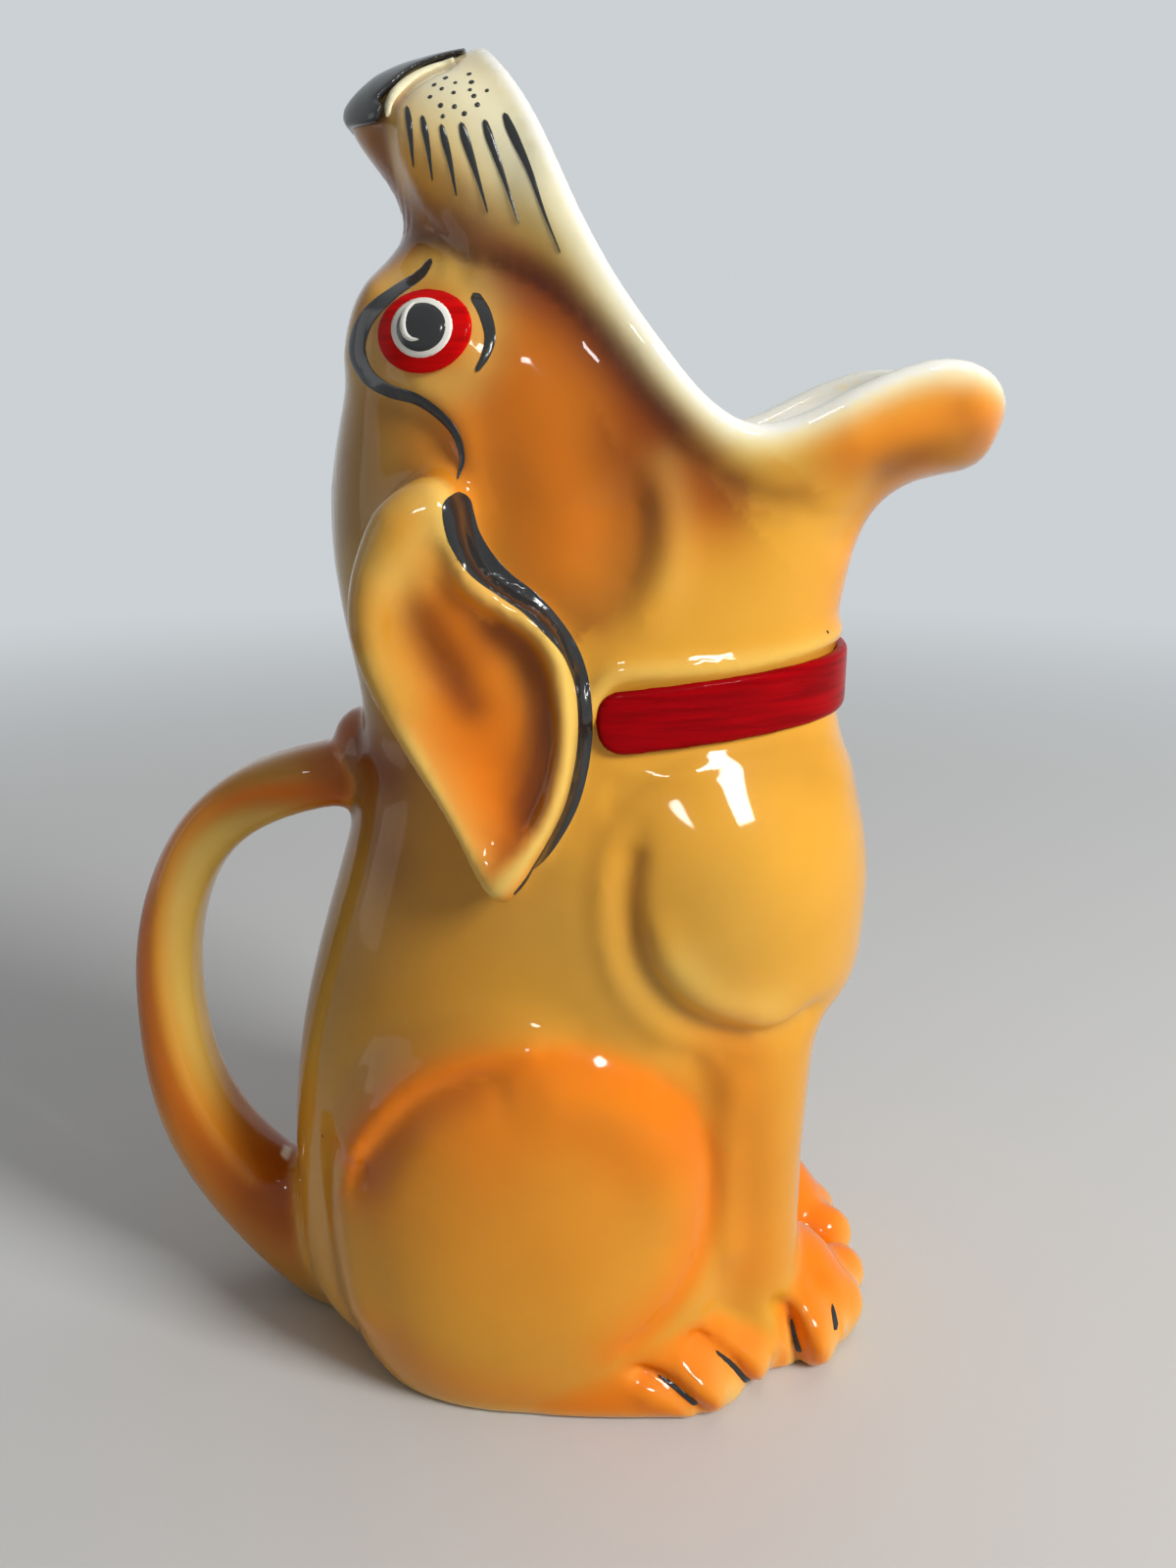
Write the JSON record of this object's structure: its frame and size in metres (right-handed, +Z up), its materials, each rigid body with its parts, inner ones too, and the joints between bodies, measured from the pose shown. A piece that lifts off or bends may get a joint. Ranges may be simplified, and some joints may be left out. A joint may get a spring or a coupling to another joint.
{
  "type": "animal pitcher",
  "caption": "Glazed pitcher shaped as a sitting dog that howls: hollow body, open mouth as pouring spout, tail as handle, raised collar and hanging ears.",
  "frame": {"origin": "middle of the foot, on the surface that the pitcher stands on", "axes": "+Z up, +X the way the dog faces and the spout pours, +Y to the dog's left"},
  "size_m": [0.1762, 0.095, 0.2597],
  "materials": {
    "body_glaze": "glossy ochre glaze with burnt orange sprayed shading",
    "handle_glaze": "glossy glaze, orange on the back and pale olive yellow inside",
    "paw_glaze": "glossy orange glaze with yellow toes",
    "ear_glaze": "glossy glaze, deep orange in the dish and pale at the edge",
    "collar_enamel": "brushed crimson enamel under gloss",
    "black_enamel": "glossy black enamel",
    "eye_enamel": "glossy painted eye"
  },
  "bodies": {
    "root": {"torso": "body_glaze", "head": "body_glaze", "chest_bib": "body_glaze", "collar": "collar_enamel", "tail_handle": "handle_glaze", "thumb_knob": "handle_glaze", "nose": "black_enamel", "right_haunch": "body_glaze", "left_haunch": "body_glaze", "right_front_leg": "body_glaze", "left_front_leg": "body_glaze", "right_front_paw": "paw_glaze", "left_front_paw": "paw_glaze", "right_hind_paw": "paw_glaze", "left_hind_paw": "paw_glaze", "right_ear": "ear_glaze", "left_ear": "ear_glaze", "right_eye": "eye_enamel", "left_eye": "eye_enamel"}
  },
  "joints": []
}
